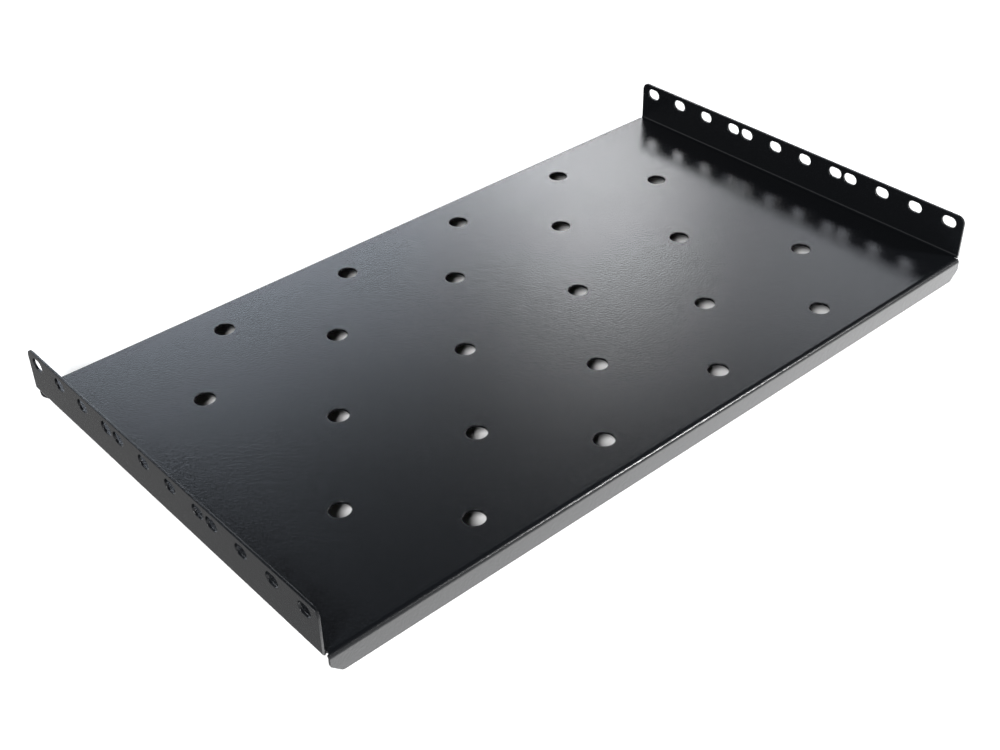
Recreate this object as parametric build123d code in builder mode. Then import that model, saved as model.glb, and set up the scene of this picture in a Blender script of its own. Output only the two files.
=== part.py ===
from build123d import *
import math
import os

# A rack shelf folded from one steel sheet. The deck is perforated, the two short ends
# fold up into slotted side flanges, and the two long edges fold down into stiffening
# flanges. Millimetres, X along the deck, Y across it, Z up. The origin is the middle
# of the footprint, on the surface that the lower flanges stand on.

# Overall size, over the outside faces of the flanges
overall_width = 487.0
overall_depth = 274.0

# The sheet and its folds
sheet = 1.5
bend_inside = 1.5

# Flange heights, both counted from the top face of the deck
side_rise = 27.5
long_drop = 14.0

# Each flange ends this far short of the inside face of the flange round the corner
corner_gap = 0.6
relief_margin = 0.03

# Vent holes in the deck: rows of four along the edges and the middle, and between them rows of
# five that stand half a pitch over
vent_diameter = 12.0
vent_pitch = 90.0
vent_from_edge = 25.0
vent_row_step = 50.0

# Slots in each side flange, in groups of four with a shorter step from group to group. They go
# on from the middle of the flange to both ends, as long as this much metal is left there
slot_length = 10.0
slot_width = 7.0
slot_pitch = 25.0
slot_group_step = 12.0
slot_below_edge = 6.5
slots_per_group = 4
slot_from_end = 5.0

# Corner shapes of the flanges
side_corner_radius = 5.0
long_corner_chamfer = 6.5
long_corner_radius = 3.0

# Levels and folds that follow from the sizes above
bend_outside = bend_inside + sheet
deck_top = long_drop
deck_underside = deck_top - sheet
side_top = deck_top + side_rise

# The flat of the deck runs from fold to fold
deck_length = overall_width - 2 * bend_outside
deck_depth = overall_depth - 2 * bend_outside

# Each flange is as long as the corner round its ends allows
side_length = overall_depth - 2 * (sheet + corner_gap)
long_length = overall_width - 2 * (sheet + corner_gap)

# The relief hole clears the small square where both flanges would overlap
corner_overlap = bend_inside - corner_gap
relief_radius = corner_overlap / math.sqrt(2) + relief_margin
relief_depth = 2 * bend_inside + sheet

# Rows of vent holes, counted in from the long flanges
outer_row = overall_depth / 2 - vent_from_edge
inner_row = outer_row - vent_row_step


def slot_place(number):
    """Centre of a slot, counted out from the middle of the flange, which halves a group."""
    group_steps = (number + slots_per_group // 2) // slots_per_group
    return slot_pitch * (number + 0.5) - (slot_pitch - slot_group_step) * group_steps


last_place = side_length / 2 - slot_from_end - slot_length / 2
most_slots = int(side_length / slot_group_step)
half_places = [y for y in map(slot_place, range(most_slots)) if y <= last_place]
slot_level = side_top - slot_below_edge

with BuildPart() as shelf:
    # The flat of the deck
    with BuildSketch(Plane.XY.offset(deck_underside)):
        Rectangle(deck_length, deck_depth)
    extrude(amount=sheet)

    # One side flange: its inside line turns up out of the deck and runs to the upper edge
    with BuildSketch(Plane.XZ):
        with BuildLine():
            fold = JernArc((deck_length / 2, deck_top), (1, 0), bend_inside, 90)
            Line(fold @ 1, (overall_width / 2 - sheet, side_top))
            offset(amount=sheet, side=Side.RIGHT)
        make_face()
    extrude(amount=side_length / 2, both=True)

    # One long flange: its outside line turns down out of the deck and runs to the foot
    with BuildSketch(Plane.YZ):
        with BuildLine():
            fold = JernArc((deck_depth / 2, deck_top), (1, 0), bend_outside, -90)
            Line(fold @ 1, (overall_depth / 2, 0))
            offset(amount=sheet, side=Side.RIGHT)
        make_face()
    extrude(amount=long_length / 2, both=True)

    # The other side flange and the other long flange
    mirror(about=Plane.YZ)
    mirror(about=Plane.XZ)

    # Round reliefs where the folds meet at the four corners
    with BuildSketch(Plane.XY.offset(deck_top + bend_inside)):
        with GridLocations(deck_length + corner_overlap, deck_depth + corner_overlap, 2, 2):
            Circle(relief_radius)
    extrude(amount=-relief_depth, mode=Mode.SUBTRACT)

    # Vent holes, in rows of four and rows of five
    with BuildSketch(Plane.XY.offset(deck_top)):
        with GridLocations(vent_pitch, outer_row, 4, 3):
            Circle(vent_diameter / 2)
        with GridLocations(vent_pitch, 2 * inner_row, 5, 2):
            Circle(vent_diameter / 2)
    extrude(amount=-sheet, mode=Mode.SUBTRACT)

    # Fixing slots through both side flanges
    with BuildSketch(Plane.YZ):
        with Locations([(side * y, slot_level) for y in half_places for side in (-1, 1)]):
            SlotOverall(slot_length, slot_width)
    extrude(amount=overall_width / 2, both=True, mode=Mode.SUBTRACT)

    # Rounded upper corners of the side flanges
    fillet(shelf.edges().filter_by(Axis.X).group_by(Axis.Z)[-1], radius=side_corner_radius)

    # Chamfered lower corners of the long flanges, with their two angles rounded
    chamfer(shelf.edges().filter_by(Axis.Y).group_by(Axis.Z)[0], length=long_corner_chamfer)
    foot_angles = shelf.edges().filter_by(Axis.Y).group_by(Axis.Z)[:2]
    fillet(foot_angles[0] + foot_angles[1], radius=long_corner_radius)

shelf.part.label = "shelf"

os.makedirs("parts", exist_ok=True)
export_step(shelf.part, "parts/shelf.step")
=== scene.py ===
import logging
import math
from dataclasses import dataclass
from enum import Enum
from typing import Any

import bpy
import numpy as np
from mathutils import Matrix, Vector
from mathutils.geometry import delaunay_2d_cdt


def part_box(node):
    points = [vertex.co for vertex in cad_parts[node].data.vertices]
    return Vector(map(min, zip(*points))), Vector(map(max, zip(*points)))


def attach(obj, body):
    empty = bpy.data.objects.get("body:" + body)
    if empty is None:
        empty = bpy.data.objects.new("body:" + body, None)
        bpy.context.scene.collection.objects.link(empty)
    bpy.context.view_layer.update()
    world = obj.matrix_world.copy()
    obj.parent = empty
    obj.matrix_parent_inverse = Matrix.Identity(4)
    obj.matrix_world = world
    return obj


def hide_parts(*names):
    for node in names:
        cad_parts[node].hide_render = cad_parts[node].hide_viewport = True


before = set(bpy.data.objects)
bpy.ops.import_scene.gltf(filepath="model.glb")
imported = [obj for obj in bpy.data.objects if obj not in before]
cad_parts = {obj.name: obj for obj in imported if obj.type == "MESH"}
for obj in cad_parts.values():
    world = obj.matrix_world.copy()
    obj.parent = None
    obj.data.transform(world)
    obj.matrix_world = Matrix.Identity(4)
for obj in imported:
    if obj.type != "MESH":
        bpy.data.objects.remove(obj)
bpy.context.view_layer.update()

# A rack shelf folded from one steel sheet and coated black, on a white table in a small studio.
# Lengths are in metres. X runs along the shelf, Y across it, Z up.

log = logging.getLogger("rack_shelf")

MM = 0.001
QUARTER_TURN = math.pi / 2
WHITE = (1.0, 1.0, 1.0, 1.0)

# The middle value of a noise texture
NOISE_MIDDLE = 0.5

# Points of the blank that are closer than this count as one point
SAME_POINT = 1e-8

# A point of the blank that is this close to a bend line is put on it
SNAP_TO_BEND = 1e-7

# A point of the blank that is this close to a bend line lies on it
ON_BEND = 1e-9

# A crossing this close to either end of its chord, as a share of the chord, is that end
LEAST_SHARE = 1e-7

# The division into triangles keeps those inside the outline, and works in millimetres
INSIDE_OUTLINE = 1
DIVISION_NEAR = 1e-7


class Axis(Enum):
    """The two directions of the flat sheet, each with its own pair of folds."""

    ALONG = 0
    ACROSS = 1


@dataclass(frozen=True)
class Loop:
    """A closed line on the flat sheet that keeps the metal on its left.

    Args:
        points: The line's points, one row each.
        inward: A unit vector at each point, square to the line and into the metal.
    """

    points: np.ndarray
    inward: np.ndarray

    def moved_in(self, distance: float) -> "Loop":
        """Returns the line at an even distance inside this one."""
        return Loop(self.points + distance * self.inward, self.inward)

    def moved_to(self, centre: np.ndarray) -> "Loop":
        """Returns the same line round another centre."""
        return Loop(self.points + centre, self.inward)


def cross(first: np.ndarray, second: np.ndarray) -> np.ndarray:
    """Returns the cross products of rows of flat vectors."""
    return first[:, 0] * second[:, 1] - first[:, 1] * second[:, 0]


def rounded_loop(corners: np.ndarray, radii: np.ndarray, steps: int) -> Loop:
    """Rounds the corners of a polygon with arcs.

    The arc at a corner starts radius * tan(turn / 2) before it. Its centre lies a radius to the
    side that the line turns to, and a point on it is the centre minus the signed radius times the
    inward vector, which turns evenly from the first side's to the second's.

    Args:
        corners: Corner points in order, with the metal on the left.
        radii: Radius at each corner.
        steps: Number of chords in each arc.

    Returns:
        The loop, without the doubled points of arcs that touch.
    """
    before = corners - np.roll(corners, 1, axis=0)
    before /= np.linalg.norm(before, axis=1, keepdims=True)
    after = np.roll(before, -1, axis=0)
    turn = np.arctan2(cross(before, after), (before * after).sum(1))
    first_inward = np.stack([-before[:, 1], before[:, 0]], axis=1)
    start = corners - before * (radii * np.tan(np.abs(turn) / 2))[:, None]
    signed = (radii * np.sign(turn))[:, None]
    centre = start + first_inward * signed
    first_angle = np.arctan2(first_inward[:, 1], first_inward[:, 0])
    angle = first_angle[:, None] + turn[:, None] * np.linspace(0, 1, steps + 1)
    inward = np.stack([np.cos(angle), np.sin(angle)], axis=2)
    points = (centre[:, None] - signed[:, None] * inward).reshape(-1, 2)
    apart = np.linalg.norm(points - np.roll(points, 1, axis=0), axis=1) > SAME_POINT
    return Loop(points[apart], inward.reshape(-1, 2)[apart])


def rounded_hole(width: float, length: float, steps: int) -> Loop:
    """Builds a hole round the origin with half round ends, a circle where both sizes agree.

    Args:
        width: Its size along X.
        length: Its size along Y, at least the width.
        steps: Number of chords in each quarter round.

    Returns:
        The hole's loop, clockwise, because the metal is outside it.
    """
    corners = np.array([[-1, -1], [-1, 1], [1, 1], [1, -1]]) * [width / 2, length / 2]
    return rounded_loop(corners, np.full(len(corners), width / 2), steps)


def point_rows(count: int, pitch: float, rows: list[float]) -> np.ndarray:
    """Lays out rows of points, evenly to both sides of the middle.

    Args:
        count: Number of points in each row.
        pitch: Step from point to point along X.
        rows: Place of each row along Y.

    Returns:
        The points.
    """
    row = pitch * (np.arange(count) - (count - 1) / 2)
    return np.stack(np.meshgrid(row, rows), axis=-1).reshape(-1, 2)


def following_points(loops: list[Loop]) -> np.ndarray:
    """Finds the point that follows each point round its own loop.

    Args:
        loops: The loops, whose points are numbered through.

    Returns:
        The number of each point's follower.
    """
    counts = np.array([len(loop.points) for loop in loops])
    start = np.repeat(np.cumsum(counts) - counts, counts)
    number = np.arange(counts.sum())
    return start + (number - start + 1) % np.repeat(counts, counts)


@dataclass(frozen=True)
class FoldedShelf:
    """The shelf: a punched blank, folded up at its short ends and down along its long edges.

    Args:
        low: Lowest corner of the shelf in the frame.
        high: Highest corner of the shelf in the frame.
        thickness: Thickness of the sheet with its coat.
        bend_inside: Inside radius of every fold.
        deck_level: Height of the deck's top face above the feet.
        corner_gap: How far a flange ends short of the inside face of the one round the corner.
        relief_margin: What a corner relief clears beyond the square where both folds overlap.
        relief_corner: Rounding where a relief runs out into the ends of the flanges.
        coat_edge: Radius of the coat round every cut edge.
        vent_diameter: Diameter of a vent.
        vent_pitch: Step from vent to vent along a row.
        vent_from_edge: Distance of the outer rows from the outside of the long flanges.
        vent_row_step: Step from an outer row to the next one.
        vents_in_row: Number of vents in the outer and middle rows. The others have one more.
        slot_length: Length of a slot.
        slot_width: Width of a slot.
        slot_pitch: Step from slot to slot in a group.
        slot_group_step: Step from the last slot of a group to the first of the next.
        slots_in_group: Number of slots in a group.
        slot_groups: Number of groups in a side flange.
        slot_below_edge: Distance of the slots' middle from the upper edge of the side flange.
        side_corner: Radius of the side flanges' upper corners.
        foot_chamfer: Size of the long flanges' cut lower corners.
        foot_corner: Rounding of the two angles of such a cut.
        bend_steps: Number of chords across a fold.
        edge_steps: Number of chords in the coat's round on an edge.
        vent_steps: Number of chords in a quarter of a vent.
        slot_steps: Number of chords in a quarter round of a slot.
        outline_steps: Number of chords in each corner of the outline.
    """

    low: Vector
    high: Vector
    thickness: float = 1.5 * MM
    bend_inside: float = 1.5 * MM
    deck_level: float = 14.0 * MM
    corner_gap: float = 0.6 * MM
    relief_margin: float = 0.03 * MM
    relief_corner: float = 0.4 * MM
    coat_edge: float = 0.32 * MM
    vent_diameter: float = 12.0 * MM
    vent_pitch: float = 90.0 * MM
    vent_from_edge: float = 25.0 * MM
    vent_row_step: float = 50.0 * MM
    vents_in_row: int = 4
    slot_length: float = 10.0 * MM
    slot_width: float = 7.0 * MM
    slot_pitch: float = 25.0 * MM
    slot_group_step: float = 12.0 * MM
    slots_in_group: int = 4
    slot_groups: int = 3
    slot_below_edge: float = 6.5 * MM
    side_corner: float = 5.0 * MM
    foot_chamfer: float = 6.5 * MM
    foot_corner: float = 3.0 * MM
    bend_steps: int = 14
    edge_steps: int = 4
    vent_steps: int = 18
    slot_steps: int = 12
    outline_steps: int = 10

    @property
    def bend_outside(self) -> float:
        """Radius of the outer face of a fold."""
        return self.bend_inside + self.thickness

    @property
    def bend_length(self) -> float:
        """Length of flat sheet that a fold takes, measured along the middle of the sheet."""
        return QUARTER_TURN * (self.bend_inside + self.thickness / 2)

    @property
    def fold_lines(self) -> np.ndarray:
        """Distance of the folds from the middle of the deck, along X and along Y."""
        half = np.array(self.high - self.low)[:2] / 2
        return half - self.bend_outside

    @property
    def flat_ends(self) -> np.ndarray:
        """Half the size of the flat blank, along X and along Y."""
        rise = self.high.z - self.deck_level - self.bend_inside
        drop = self.deck_level - self.bend_outside - self.low.z
        return self.fold_lines + self.bend_length + [rise, drop]

    def outline(self) -> Loop:
        """Builds the outer line of the blank.

        One corner of the blank is a list of points: the rounded corner of the side flange, its
        end, the relief as three quarters of a circle round the square where both flanges would
        overlap, the end of the long flange and the chamfered foot. The other three corners mirror
        it, and every second one runs the other way round.

        Returns:
            The outline, anticlockwise.
        """
        end_x, end_y = self.flat_ends
        overlap = self.bend_inside - self.corner_gap
        half_x, half_y = self.fold_lines + overlap
        middle_x, middle_y = self.fold_lines + overlap / 2
        relief = overlap / math.sqrt(2) + self.relief_margin
        quarter = np.array([
            [end_x, half_y],
            [middle_x + relief, half_y],
            [middle_x + relief, middle_y - relief],
            [middle_x - relief, middle_y - relief],
            [middle_x - relief, middle_y + relief],
            [half_x, middle_y + relief],
            [half_x, end_y - self.foot_chamfer],
            [half_x - self.foot_chamfer, end_y],
        ])
        radii = np.array([
            self.side_corner, self.relief_corner, relief, relief, relief,
            self.relief_corner, self.foot_corner, self.foot_corner,
        ])
        signs = np.array([[1, 1], [-1, 1], [-1, -1], [1, -1]])
        corners = np.concatenate([(quarter * sign)[::sign[0] * sign[1]] for sign in signs])
        return rounded_loop(corners, np.concatenate([radii, radii[::-1]] * 2), self.outline_steps)

    def vent_centres(self) -> np.ndarray:
        """Lays out the vents: three rows, and between them rows of one more, half a pitch over.

        Returns:
            The centres of the vents.
        """
        outer = self.fold_lines[1] + self.bend_outside - self.vent_from_edge
        inner = outer - self.vent_row_step
        return np.concatenate([
            point_rows(self.vents_in_row, self.vent_pitch, [-outer, 0, outer]),
            point_rows(self.vents_in_row + 1, self.vent_pitch, [-inner, inner]),
        ])

    def slot_centres(self) -> np.ndarray:
        """Lays out the slots of both side flanges.

        A slot's place along the flange is the pitch times its number, less what each short step
        between groups saves, with the middle of the row at zero.

        Returns:
            The centres of the slots on the blank.
        """
        number = np.arange(self.slots_in_group * self.slot_groups)
        saved = self.slot_pitch - self.slot_group_step
        place = self.slot_pitch * number - saved * (number // self.slots_in_group)
        across = place - place.mean()
        along = self.flat_ends[0] - self.slot_below_edge
        return np.stack([np.tile([-along, along], len(across)), np.repeat(across, 2)], axis=1)

    def holes(self) -> list[Loop]:
        """Builds the loops of all vents and slots.

        Returns:
            The loops, first those of the vents.
        """
        vent = rounded_hole(self.vent_diameter, self.vent_diameter, self.vent_steps)
        slot = rounded_hole(self.slot_width, self.slot_length, self.slot_steps)
        vents = [vent.moved_to(centre) for centre in self.vent_centres()]
        return vents + [slot.moved_to(centre) for centre in self.slot_centres()]

    def past_folds(self, flat: np.ndarray) -> np.ndarray:
        """Works out how far points of the blank lie past the fold that lifts or drops them.

        Past both fold lines, at a relief, a point belongs to the flange that it reaches further
        into.

        Args:
            flat: Points on the blank.

        Returns:
            The distance past the X fold and past the Y fold, with zero where a fold doesn't hold.
        """
        past = np.abs(flat) - self.fold_lines
        on_side = past[:, :1] > past[:, 1:]
        return np.where(np.hstack([on_side, ~on_side]), past, 0).clip(0)

    def fold(
        self, flat: np.ndarray, depth: np.ndarray, local: np.ndarray
    ) -> tuple[np.ndarray, np.ndarray]:
        """Folds points of the blank into their place on the shelf.

        Along a bend the angle is the distance past the fold line over the radius of the sheet's
        middle, up to a quarter turn, and what is left over runs on straight. A layer at some depth
        below the top face bends at its own radius: the inside radius plus the depth in a fold up,
        and the outside radius less the depth in a fold down.

        Args:
            flat: Points on the blank.
            depth: Depth of each point below the top face of the sheet.
            local: A vector at each point, as along, across and out of the top face.

        Returns:
            The points and the turned vectors.
        """
        past = self.past_folds(flat)
        side = np.sign(flat)
        angle = np.minimum(past / self.bend_length, 1) * QUARTER_TURN
        straight = (past - self.bend_length).clip(0)
        radius = np.stack([self.bend_inside + depth, self.bend_outside - depth], axis=1)
        reach = side * (self.fold_lines + radius * np.sin(angle))
        place = np.where(past > 0, reach, flat)
        lift = radius * (1 - np.cos(angle)) + straight
        level = self.low.z + self.deck_level - depth + lift[:, 0] - lift[:, 1]
        cos, sin = np.cos(angle), np.sin(angle) * side
        along, across, out = local.T
        turned = np.stack([
            cos[:, 0] * along - sin[:, 0] * out,
            cos[:, 1] * across + sin[:, 1] * out,
            sin[:, 0] * along - sin[:, 1] * across + cos[:, 0] * cos[:, 1] * out,
        ], axis=1)
        middle = np.array((self.low + self.high) / 2)[:2]
        return np.column_stack([place + middle, level]), turned

    def bend_lines(self, axis: Axis) -> np.ndarray:
        """Places the straight lines that divide both folds across an axis.

        Args:
            axis: The axis that the folds cross.

        Returns:
            The lines' places along it.
        """
        step = self.bend_length / self.bend_steps
        one_side = self.fold_lines[axis.value] + step * np.arange(self.bend_steps + 1)
        return np.concatenate([-one_side, one_side])

    def on_fold(self, points: np.ndarray, axis: Axis) -> np.ndarray:
        """Tells which points lie in the reach of one axis's folds and not of the other's."""
        past = np.abs(points) - self.fold_lines
        return past[:, axis.value] > past[:, 1 - axis.value]

    def cut_at_bends(self, loop: Loop, axis: Axis) -> Loop:
        """Adds a point wherever a loop crosses a bend line, so that the sheet can turn there.

        A crossing's share of its chord is the line's distance from the chord's start over the
        chord's extent across the line.

        Args:
            loop: The loop to divide.
            axis: The axis that the bend lines cross.

        Returns:
            The loop with its crossings in order.
        """
        lines = self.bend_lines(axis)
        points = loop.points.copy()
        gap = points[:, axis.value, None] - lines
        index, line = np.nonzero(np.abs(gap) < SNAP_TO_BEND)
        points[index, axis.value] = lines[line]
        ahead, inward_ahead = np.roll(points, -1, axis=0), np.roll(loop.inward, -1, axis=0)
        span = (ahead - points)[:, axis.value, None]
        with np.errstate(divide="ignore", invalid="ignore"):
            share = (lines - points[:, axis.value, None]) / span
        index, line = np.nonzero((share > LEAST_SHARE) & (share < 1 - LEAST_SHARE))
        part = share[index, line][:, None]
        new = points[index] + part * (ahead - points)[index]
        new[:, axis.value] = lines[line]
        kept = self.on_fold(new, axis)
        new_inward = loop.inward[index] + part * (inward_ahead - loop.inward)[index]
        new_inward /= np.linalg.norm(new_inward, axis=1, keepdims=True)
        along_loop = np.concatenate([np.arange(len(points)), (index + part[:, 0])[kept]])
        order = np.argsort(along_loop, kind="stable")
        return Loop(
            np.concatenate([points, new[kept]])[order],
            np.concatenate([loop.inward, new_inward[kept]])[order],
        )

    def bend_edges(self, points: np.ndarray) -> np.ndarray:
        """Joins the two points of the outline that each bend line runs between.

        Args:
            points: Points of the outline.

        Returns:
            Pairs of point numbers.
        """
        pairs = []
        for axis in Axis:
            held = self.on_fold(points, axis)
            for line in self.bend_lines(axis):
                ends = np.flatnonzero(held & (np.abs(points[:, axis.value] - line) < ON_BEND))
                assert len(ends) == 2, (axis, line, points[ends])
                pairs.append(ends)
        return np.array(pairs)

    def face_triangles(self, loops: list[Loop]) -> np.ndarray:
        """Divides the metal between the loops into triangles.

        A Delaunay division keeps every loop and every bend line as edges. A triangle whose corners
        all lie on one hole covers that hole, because each hole is convex, and is dropped.

        Args:
            loops: The outline first, then the holes.

        Returns:
            Corner numbers, anticlockwise, counted through all loops.
        """
        points = np.concatenate([loop.points for loop in loops])
        ring = np.stack([np.arange(len(points)), following_points(loops)], axis=1)
        edges = np.concatenate([ring, self.bend_edges(loops[0].points)])
        placed, _, faces, sources, _, _ = delaunay_2d_cdt(
            (points / MM).tolist(), edges.tolist(), [], INSIDE_OUTLINE, DIVISION_NEAR
        )
        assert len(placed) == len(points), "the bend lines cross something"
        origin = np.array([source[0] for source in sources])
        corners = origin[np.array(faces)]
        first, second, third = (points[corners[:, i]] for i in range(3))
        anticlockwise = cross(second - first, third - first) > 0
        corners = np.where(anticlockwise[:, None], corners, corners[:, ::-1])
        owner = np.repeat(np.arange(len(loops)), [len(loop.points) for loop in loops])
        on_one_loop = (owner[corners] == owner[corners[:, :1]]).all(axis=1)
        return corners[~(on_one_loop & (owner[corners[:, 0]] > 0))]

    def edge_profile(self) -> tuple[np.ndarray, np.ndarray, np.ndarray]:
        """Works out the section of a coated cut edge: a quarter round, a wall, a quarter round.

        Returns:
            For each point of the section its distance outwards from the face's border, its depth
            below the top face, and the angle of its normal from straight up.
        """
        turn = np.linspace(0, QUARTER_TURN, self.edge_steps + 1)
        out = self.coat_edge * np.sin(turn)
        depth = self.coat_edge * (1 - np.cos(turn))
        return (
            np.concatenate([out, out[::-1]]),
            np.concatenate([depth, self.thickness - depth[::-1]]),
            np.concatenate([turn, math.pi - turn[::-1]]),
        )

    def mesh(self, name: str) -> bpy.types.Mesh:
        """Builds the shelf's closed mesh.

        Every loop carries the section of the cut edge round it as a grid of loop point by section
        point. The grid's first and last rows border the top and under faces, which share one set
        of triangles.

        Args:
            name: Name of the mesh.

        Returns:
            The mesh, smooth, with the normals of the true shape.
        """
        outline = self.outline().moved_in(self.coat_edge)
        for axis in Axis:
            outline = self.cut_at_bends(outline, axis)
        loops = [outline] + [hole.moved_in(self.coat_edge) for hole in self.holes()]
        points = np.concatenate([loop.points for loop in loops])
        inward = np.concatenate([loop.inward for loop in loops])
        out, depth, lean = self.edge_profile()
        rows, count = len(out), len(points)
        flat = (points[None] - out[:, None, None] * inward[None]).reshape(-1, 2)
        local = np.concatenate([
            np.broadcast_to(-np.sin(lean)[:, None, None] * inward[None], (rows, count, 2)),
            np.broadcast_to(np.cos(lean)[:, None, None], (rows, count, 1)),
        ], axis=2).reshape(-1, 3)
        place, normal = self.fold(flat, np.repeat(depth, count), local)
        number, following = np.arange(count), following_points(loops)
        row = (np.arange(rows - 1) * count)[:, None]
        quads = np.stack(
            [row + number, row + count + number, row + count + following, row + following], axis=2
        )
        top = self.face_triangles(loops)
        under = top[:, ::-1] + (rows - 1) * count
        mesh = mesh_from_arrays(name, place, [quads.reshape(-1, 4), top, under])
        mesh.normals_split_custom_set_from_vertices(normal.tolist())
        return mesh

    def build(self, coat: "PowderCoat") -> bpy.types.Object:
        """Makes the coated shelf in place of its plain solid and lets it ride on the frame.

        Args:
            coat: The shelf's finish.

        Returns:
            The finished piece.
        """
        piece = add_object("coated_shelf", self.mesh("coated_shelf"))
        piece.data.materials.append(coat.material())
        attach(piece, "root")
        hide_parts("shelf")
        return piece


def mesh_from_arrays(name: str, points: np.ndarray, faces: list[np.ndarray]) -> bpy.types.Mesh:
    """Puts arrays of points and faces into a new smooth mesh.

    Args:
        name: Name of the mesh.
        points: Points, one row each.
        faces: Arrays of point numbers, each with faces of one size.

    Returns:
        The mesh.
    """
    mesh = bpy.data.meshes.new(name)
    corners = np.concatenate([group.ravel() for group in faces]).astype(np.int32)
    sizes = np.concatenate([np.full(len(group), group.shape[1]) for group in faces])
    starts = (np.cumsum(sizes) - sizes).astype(np.int32)
    mesh.vertices.add(len(points))
    mesh.vertices.foreach_set("co", points.astype(np.float32).ravel())
    mesh.loops.add(len(corners))
    mesh.loops.foreach_set("vertex_index", corners)
    mesh.polygons.add(len(sizes))
    mesh.polygons.foreach_set("loop_start", starts)
    mesh.polygons.foreach_set("use_smooth", np.ones(len(sizes), bool))
    mesh.update(calc_edges=True)
    mesh.validate()
    return mesh


def add_object(name: str, data: bpy.types.ID) -> bpy.types.Object:
    """Puts a new object into the scene.

    Args:
        name: Name of the object.
        data: Its mesh, lamp or camera.

    Returns:
        The object.
    """
    made = bpy.data.objects.new(name, data)
    bpy.context.scene.collection.objects.link(made)
    return made


def flat_face(
    name: str, low: tuple[float, float], high: tuple[float, float], level: float
) -> bpy.types.Object:
    """Makes a level rectangle that faces up.

    Args:
        name: Name of the object and of its mesh.
        low: Its corner of least X and Y.
        high: Its corner of most X and Y.
        level: Its height.

    Returns:
        The rectangle.
    """
    corners = ((low[0], low[1]), (high[0], low[1]), (high[0], high[1]), (low[0], high[1]))
    points = np.array([(x, y, level) for x, y in corners])
    return add_object(name, mesh_from_arrays(name, points, [np.array([[0, 1, 2, 3]])]))


class Graph:
    """A node tree that is filled through one method."""

    def __init__(self, owner: bpy.types.Material | bpy.types.World) -> None:
        """Gives a material or a world an empty tree."""
        owner.use_nodes = True
        self.tree = owner.node_tree
        self.tree.nodes.clear()

    def add(
        self,
        kind: str,
        settings: dict[str, Any] | None = None,
        sockets: dict[Any, Any] | None = None,
    ) -> "Term":
        """Adds a node.

        Args:
            kind: The node's type.
            settings: Properties of the node, set before its sockets.
            sockets: Values or terms for its inputs, by name or number.

        Returns:
            The node's first shown output.
        """
        node = self.tree.nodes.new(kind)
        for name, value in (settings or {}).items():
            setattr(node, name, value)
        for name, value in (sockets or {}).items():
            if isinstance(value, Term):
                self.tree.links.new(value.socket, node.inputs[name])
            else:
                node.inputs[name].default_value = value
        shown = [socket for socket in node.outputs if socket.enabled]
        return Term(self, shown[0] if shown else None, node)

    def noise(self, place: "Term", scale: float, detail: float) -> "Term":
        """Adds a noise texture.

        Args:
            place: Where it is read.
            scale: Number of its waves to the metre.
            detail: How many finer layers of waves it has.

        Returns:
            Its value.
        """
        sockets = {"Vector": place, "Scale": scale, "Detail": detail}
        return self.add("ShaderNodeTexNoise", sockets=sockets)

    def blend(
        self, value: "Term", span: tuple[float, float], levels: tuple[float, float]
    ) -> "Term":
        """Runs smoothly from one level to another while a value runs through a span.

        Args:
            value: The value.
            span: Where the change starts and ends.
            levels: The levels before and after it.

        Returns:
            The level.
        """
        return self.add("ShaderNodeMapRange", {"interpolation_type": "SMOOTHSTEP", "clamp": True}, {
            "Value": value,
            "From Min": span[0],
            "From Max": span[1],
            "To Min": levels[0],
            "To Max": levels[1],
        })

    def seen_rays(self) -> "Term":
        """Returns one for camera, glossy and clear rays, and zero for the others."""
        light = self.add("ShaderNodeLightPath")
        camera, glossy, clear = (
            light.out(f"Is {kind} Ray") for kind in ("Camera", "Glossy", "Transmission")
        )
        return camera + glossy + clear


class Term:
    """A node's output that can stand in arithmetic."""

    def __init__(
        self, graph: Graph, socket: bpy.types.NodeSocket | None, node: bpy.types.Node
    ) -> None:
        """Keeps the socket and its node."""
        self.graph, self.socket, self.node = graph, socket, node

    def out(self, name: str) -> "Term":
        """Returns another output of the same node."""
        return Term(self.graph, self.node.outputs[name], self.node)

    def maths(self, operation: str, *others: Any) -> "Term":
        """Returns the result of a Math node that takes this term first."""
        sockets = dict(enumerate((self, *others)))
        return self.graph.add("ShaderNodeMath", {"operation": operation}, sockets)

    def __add__(self, other: Any) -> "Term":
        """Adds a term or a number."""
        return self.maths("ADD", other)

    def __sub__(self, other: Any) -> "Term":
        """Takes a term or a number away."""
        return self.maths("SUBTRACT", other)

    def __rsub__(self, other: float) -> "Term":
        """Takes this term from a number."""
        return self.graph.add("ShaderNodeMath", {"operation": "SUBTRACT"}, {0: other, 1: self})

    def __mul__(self, other: Any) -> "Term":
        """Multiplies by a term or a number."""
        return self.maths("MULTIPLY", other)


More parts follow.
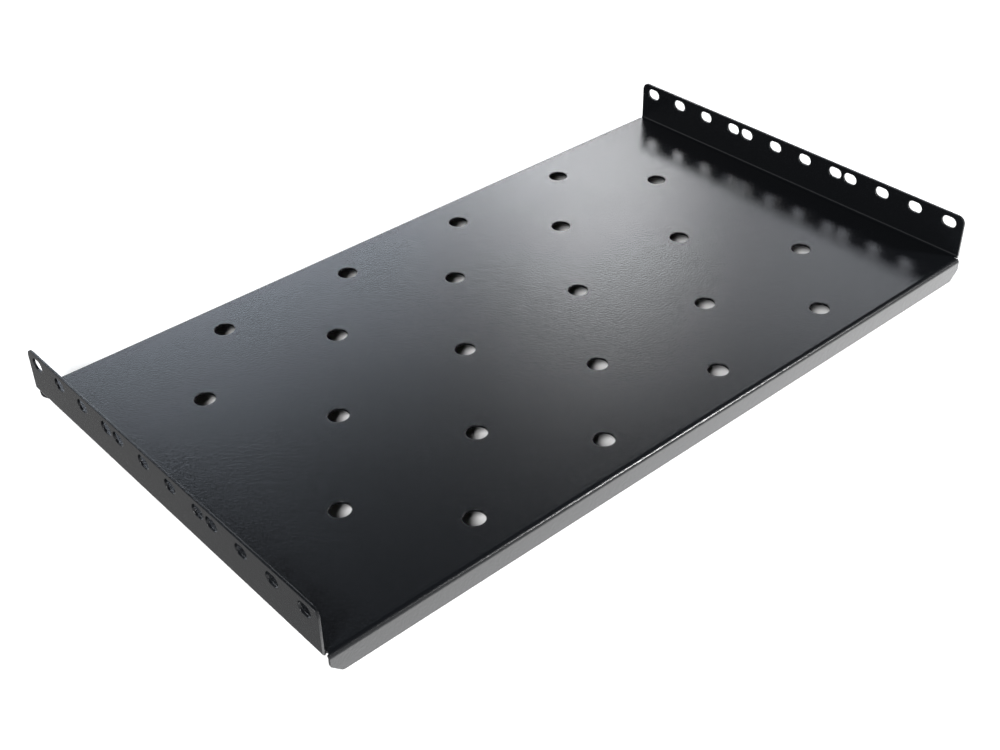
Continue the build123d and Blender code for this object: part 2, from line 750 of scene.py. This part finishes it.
@dataclass(frozen=True)
class PowderCoat:
    """Semi-gloss black powder coat: a fine orange peel with slow changes of gloss.

    Args:
        colour: Colour of the coat.
        roughness: Middle roughness.
        gloss_drift: How far the roughness wanders over the surface.
        drift_scale: Number of that drift's waves to the metre.
        drift_detail: Layers of finer waves in it.
        sheen: Strength of the reflection, where 0.5 is a smooth lacquer.
        peel_size: Size of the orange peel's waves.
        peel_detail: Layers of finer waves in the peel.
        peel_height: Height of the orange peel.
        grain_size: Size of the coat's finest grain.
        grain_detail: Layers of finer waves in the grain.
        grain_height: Height of that grain.
    """

    colour: tuple[float, float, float, float] = (0.0052, 0.0059, 0.0071, 1.0)
    roughness: float = 0.24
    gloss_drift: float = 0.02
    drift_scale: float = 9.0
    drift_detail: float = 3.0
    sheen: float = 0.3
    peel_size: float = 1.1 * MM
    peel_detail: float = 2.0
    peel_height: float = 0.10 * MM
    grain_size: float = 0.35 * MM
    grain_detail: float = 1.0
    grain_height: float = 0.008 * MM

    def material(self) -> bpy.types.Material:
        """Builds the material on the piece's own coordinates.

        Returns:
            The material.
        """
        material = bpy.data.materials.new("black_powder_coat")
        graph = Graph(material)
        place = graph.add("ShaderNodeTexCoord").out("Object")
        peel = graph.noise(place, 1 / self.peel_size, self.peel_detail)
        grain = graph.noise(place, 1 / self.grain_size, self.grain_detail)
        drift = graph.noise(place, self.drift_scale, self.drift_detail)
        height = peel * self.peel_height + grain * self.grain_height
        bump = graph.add(
            "ShaderNodeBump", sockets={"Strength": 1.0, "Distance": 1.0, "Height": height}
        )
        coat = graph.add("ShaderNodeBsdfPrincipled", sockets={
            "Base Color": self.colour,
            "Roughness": (drift - NOISE_MIDDLE) * (2 * self.gloss_drift) + self.roughness,
            "Specular IOR Level": self.sheen,
            "Normal": bump,
        })
        graph.add("ShaderNodeOutputMaterial", sockets={"Surface": coat})
        return material


@dataclass(frozen=True)
class Softbox:
    """A soft lamp on a stand round the shelf, turned to its middle.

    Args:
        name: Name of the lamp.
        azimuth: Where it stands round the shelf, in degrees from +Y towards +X.
        elevation: How high it stands, in degrees above the table.
        width: Its width.
        height: Its height.
        radiance: How bright its face is, where 1 is white.
        tint: Colour of its light.
        distance: How far it stands from the shelf's middle.
    """

    name: str
    azimuth: float
    elevation: float
    width: float
    height: float
    radiance: float
    tint: tuple[float, float, float] = (1.0, 1.0, 1.0)
    distance: float = 1.9

    def build(self) -> bpy.types.Object:
        """Makes the lamp.

        Returns:
            The lamp.
        """
        turn, rise = math.radians(self.azimuth), math.radians(self.elevation)
        away = (math.cos(rise) * math.sin(turn), math.cos(rise) * math.cos(turn), math.sin(rise))
        place = self.distance * Vector(away)
        lamp = area_lamp(self.name, place, place, (self.width, self.height), self.radiance)
        lamp.data.color = self.tint
        return lamp


@dataclass(frozen=True)
class FrontCard:
    """A bright white card on the table in front of the shelf that lights its front flange.

    Args:
        front: Where the shelf's front flange stands.
        level: Height of the table.
        gap: Space between the flange and the card.
        width: Size of the card along the flange.
        reach: Size of the card away from it.
        radiance: How bright the card is, where 1 is white.
    """

    front: float
    level: float
    gap: float = 0.2 * MM
    width: float = 1.0
    reach: float = 19 * MM
    radiance: float = 3.15

    def build(self) -> bpy.types.Object:
        """Makes the card as a lamp that faces up.

        Returns:
            The card.
        """
        place = Vector((0, self.front - self.gap - self.reach / 2, self.level))
        size = (self.width, self.reach)
        return area_lamp("front_card", place, Vector((0, 0, -1)), size, self.radiance)


@dataclass(frozen=True)
class ReflectionCard:
    """A painted reflection: a grey glow flat on the table, which the coat mirrors instead of the
    white table.

    Args:
        name: Name of the card.
        low: Its corner of least X and Y.
        high: Its corner of most X and Y.
        level: Height of the table.
        radiance: How bright the card is, where 1 is white.
    """

    name: str
    low: tuple[float, float]
    high: tuple[float, float]
    level: float
    radiance: float

    def build(self) -> bpy.types.Object:
        """Makes the card as a glowing flat face that only reflections see, a painted reflection.

        Returns:
            The card.
        """
        card = flat_face(self.name, self.low, self.high, self.level)
        material = bpy.data.materials.new(self.name)
        graph = Graph(material)
        # The card's grey glow is a painted reflection; nothing but reflections sees it.
        grey = graph.add("ShaderNodeEmission", sockets={"Color": WHITE, "Strength": self.radiance})
        graph.add("ShaderNodeOutputMaterial", sockets={"Surface": grey})
        card.data.materials.append(material)
        card.visible_camera = card.visible_diffuse = False
        card.visible_transmission = card.visible_shadow = False
        return card


def area_lamp(
    name: str, place: Vector, away: Vector, size: tuple[float, float], radiance: float
) -> bpy.types.Object:
    """Makes a flat lamp, unseen by the camera.

    Its power is radiance times pi times its area.

    Args:
        name: Name of the lamp.
        place: Place of its middle.
        away: The direction that its back faces.
        size: Its width and height.
        radiance: How bright its face is.

    Returns:
        The lamp.
    """
    data = bpy.data.lights.new(name, "AREA")
    data.shape = "RECTANGLE"
    data.size, data.size_y = size
    data.energy = radiance * math.pi * size[0] * size[1]
    lamp = add_object(name, data)
    lamp.matrix_world = (
        Matrix.Translation(place) @ away.to_track_quat("Z", "Y").to_matrix().to_4x4()
    )
    lamp.visible_camera = False
    return lamp


@dataclass(frozen=True)
class Table:
    """The white table, which shows white and keeps the shelf's shadow. Its glow is taken away under
    the shelf, a painted shade there.

    Args:
        shelf: The shelf that stands on it.
        size: Length of its sides.
        sink: How far it lies below the shelf's feet.
        albedo: Its own grey.
        glow: What its whiteness adds to the light that falls on it near the shelf.
        glow_near: Distance from the shelf's middle up to which that holds.
        glow_far: Distance from which on the table shows a full white of its own.
        dark_inset: How far under the shelf's ends the glow still reaches. Inward is painted shade.
        dark_blend: Width over which it fades into that painted shade.
    """

    shelf: FoldedShelf
    size: float = 14.0
    sink: float = 0.2 * MM
    albedo: float = 0.9
    glow: float = 0.4
    glow_near: float = 1.1
    glow_far: float = 2.2
    dark_inset: float = 14.3 * MM
    dark_blend: float = 2.0 * MM

    def material(self) -> bpy.types.Material:
        """Builds the material: a pale surface plus a white that camera, glossy and clear rays see.

        Returns:
            The material.
        """
        material = bpy.data.materials.new("white_table")
        graph = Graph(material)
        pale = graph.add("ShaderNodeBsdfDiffuse", sockets={"Color": (self.albedo,) * 3 + (1.0,)})
        seen = graph.seen_rays()
        point = graph.add("ShaderNodeTexCoord").out("Object")
        place = graph.add("ShaderNodeSeparateXYZ", sockets={0: point})
        half = (self.shelf.high - self.shelf.low) / 2
        # The glow is taken away under the shelf's deck: a painted shade under the shelf, with a
        # soft edge.
        past_end = place.out("X").maths("ABSOLUTE").maths("SUBTRACT", half.x - self.dark_inset)
        past_side = place.out("Y").maths("ABSOLUTE").maths("SUBTRACT", half.y)
        edge = past_end.maths("MAXIMUM", past_side).maths("DIVIDE", self.dark_blend)
        outside_painted_shade = (edge + 1.0).maths("MINIMUM", 1.0).maths("MAXIMUM", 0.0)
        away = graph.add("ShaderNodeVectorMath", {"operation": "LENGTH"}, {0: point}).out("Value")
        level = graph.blend(away, (self.glow_near, self.glow_far), (self.glow, 1.0))
        glow = graph.add(
            "ShaderNodeEmission", sockets={"Color": WHITE, "Strength": seen * outside_painted_shade * level}
        )
        both = graph.add("ShaderNodeAddShader", sockets={0: pale, 1: glow})
        graph.add("ShaderNodeOutputMaterial", sockets={"Surface": both})
        return material

    def build(self) -> bpy.types.Object:
        """Makes the table as one flat face under the shelf.

        Returns:
            The table.
        """
        half = self.size / 2
        level = self.shelf.low.z - self.sink
        table = flat_face("table_top", (-half, -half), (half, half), level)
        table.data.materials.append(self.material())
        return table


@dataclass(frozen=True)
class Surroundings:
    """The studio round the table: a white backdrop up to some height and a dark room above it.

    Args:
        ambient: Light that comes from all round.
        backdrop_top: Elevation at which the backdrop ends, in degrees.
        backdrop_blend: Range of elevation over which it ends.
    """

    ambient: float = 0.05
    backdrop_top: float = 30.0
    backdrop_blend: float = 12.0

    def build(self) -> bpy.types.World:
        """Builds the world: the backdrop for camera, glossy and clear rays, dim light for the rest.

        Returns:
            The world.
        """
        world = bpy.data.worlds.new("studio")
        graph = Graph(world)
        seen = graph.seen_rays()
        direction = graph.add("ShaderNodeTexCoord").out("Generated")
        rise = graph.add("ShaderNodeSeparateXYZ", sockets={0: direction}).out("Z")
        low, high = (
            math.sin(math.radians(self.backdrop_top + side * self.backdrop_blend / 2))
            for side in (-1, 1)
        )
        backdrop = graph.blend(rise, (low, high), (1.0, 0.0))
        rest = (1 - seen).maths("MAXIMUM", 0.0)
        air = graph.add("ShaderNodeBackground", sockets={
            "Color": WHITE,
            "Strength": seen * backdrop + rest * self.ambient,
        })
        graph.add("ShaderNodeOutputWorld", sockets={"Surface": air})
        bpy.context.scene.world = world
        return world


@dataclass(frozen=True)
class PhotoCamera:
    """The camera, where the photo was taken from.

    Args:
        place: Its place.
        right: Direction of the picture's right.
        down: Direction of the picture's bottom.
        focal_pixels: Focal length in pixels of the picture.
        picture_width: Width of the picture in pixels.
        sensor_width: Width of the sensor in millimetres.
        nearest: Distance from which on it sees things.
        farthest: Distance up to which it sees things.
    """

    place: tuple[float, float, float] = (-0.46754, -0.51719, 0.48687)
    right: tuple[float, float, float] = (0.746295, -0.665355, -0.018598)
    down: tuple[float, float, float] = (-0.406064, -0.432966, -0.804768)
    focal_pixels: float = 1429.32
    picture_width: float = 1000.0
    sensor_width: float = 36.0
    nearest: float = 0.01
    farthest: float = 50.0

    def build(self) -> bpy.types.Object:
        """Makes the camera, whose own axes are the picture's right, its top and straight back.

        Its focal length is to the sensor's width what the focal pixels are to the picture's width.

        Returns:
            The camera.
        """
        data = bpy.data.cameras.new("camera")
        data.sensor_width = self.sensor_width
        data.lens = self.focal_pixels / self.picture_width * self.sensor_width
        data.clip_start, data.clip_end = self.nearest, self.farthest
        camera = add_object("camera", data)
        right, down = Vector(self.right), Vector(self.down)
        axes = Matrix((right, -down, -right.cross(down))).transposed()
        camera.matrix_world = Matrix.Translation(self.place) @ axes.to_4x4()
        bpy.context.scene.camera = camera
        return camera


@dataclass(frozen=True)
class Studio:
    """Table, lamps, cards, surroundings and camera round the shelf.

    Args:
        shelf: The shelf.
        softboxes: The lamps on stands: one on each side in front, and a bank of them behind.
        card_gap: Space between the shelf's feet and the grey cards.
        side_reach: How far from the shelf the card on its left reaches.
        side_half: Half the length of that card along the side.
        side_radiance: How bright it is, as a painted reflection.
        rear_start: Where the card behind the shelf starts along X. It ends with the shelf.
        rear_reach: How far from the shelf that card reaches.
        rear_radiance: How bright it is, as a painted reflection.
    """

    shelf: FoldedShelf
    softboxes: tuple[Softbox, ...] = (
        Softbox("left_key", -119, 39, 0.60, 0.60, 56.0, distance=2.5),
        Softbox("right_key", 143.5, 22, 0.22, 0.22, 190.0),
        Softbox("back_core", 48, 27.5, 0.30, 0.30, 12.6, tint=(0.985, 1.0, 1.03)),
        Softbox("back_inner_left", 40, 24, 0.24, 0.20, 11.5, tint=(0.96, 1.0, 1.06)),
        Softbox("back_left", 30, 27, 0.36, 0.30, 6.1, tint=(0.90, 1.0, 1.14)),
        Softbox("back_far_left", 16, 30, 0.50, 0.30, 5.7, tint=(0.89, 1.0, 1.15)),
        Softbox("back_right", 64, 29, 0.48, 0.30, 3.5, tint=(0.95, 1.0, 1.09)),
    )
    card_gap: float = 1.0 * MM
    side_reach: float = 0.25
    side_half: float = 0.3
    side_radiance: float = 0.43
    rear_start: float = -0.1
    rear_reach: float = 0.15
    rear_radiance: float = 0.02

    def cards(self) -> tuple[FrontCard | ReflectionCard, ...]:
        """Places the cards at the shelf's feet.

        Returns:
            The cards in front of the shelf, on its left and behind it. The last two are painted
            reflections.
        """
        low, high = self.shelf.low, self.shelf.high
        side_corners = (
            (low.x - self.side_reach, -self.side_half),
            (low.x - self.card_gap, self.side_half),
        )
        rear_corners = (
            (self.rear_start, high.y + self.card_gap),
            (high.x, high.y + self.rear_reach),
        )
        # The side and rear cards are painted reflections in the coat.
        return (
            FrontCard(low.y, low.z),
            ReflectionCard("side_reflection_card", *side_corners, low.z, self.side_radiance),
            ReflectionCard("rear_reflection_card", *rear_corners, low.z, self.rear_radiance),
        )

    def build(self) -> None:
        """Makes everything that isn't part of the shelf."""
        Table(self.shelf).build()
        for lamp in (*self.softboxes, *self.cards()):
            log.info("lamp or card %s", lamp.build().name)
        Surroundings().build()
        PhotoCamera().build()
        bpy.context.scene.view_settings.view_transform = "Standard"


def main() -> None:
    """Builds the shelf and its studio."""
    logging.basicConfig(level=logging.INFO, format="%(name)s: %(message)s")
    shelf = FoldedShelf(*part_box("shelf"))
    piece = shelf.build(PowderCoat())
    mesh = piece.data
    log.info("piece %s: %d points, %d faces", piece.name, len(mesh.vertices), len(mesh.polygons))
    Studio(shelf).build()


if __name__ == "__main__":
    main()
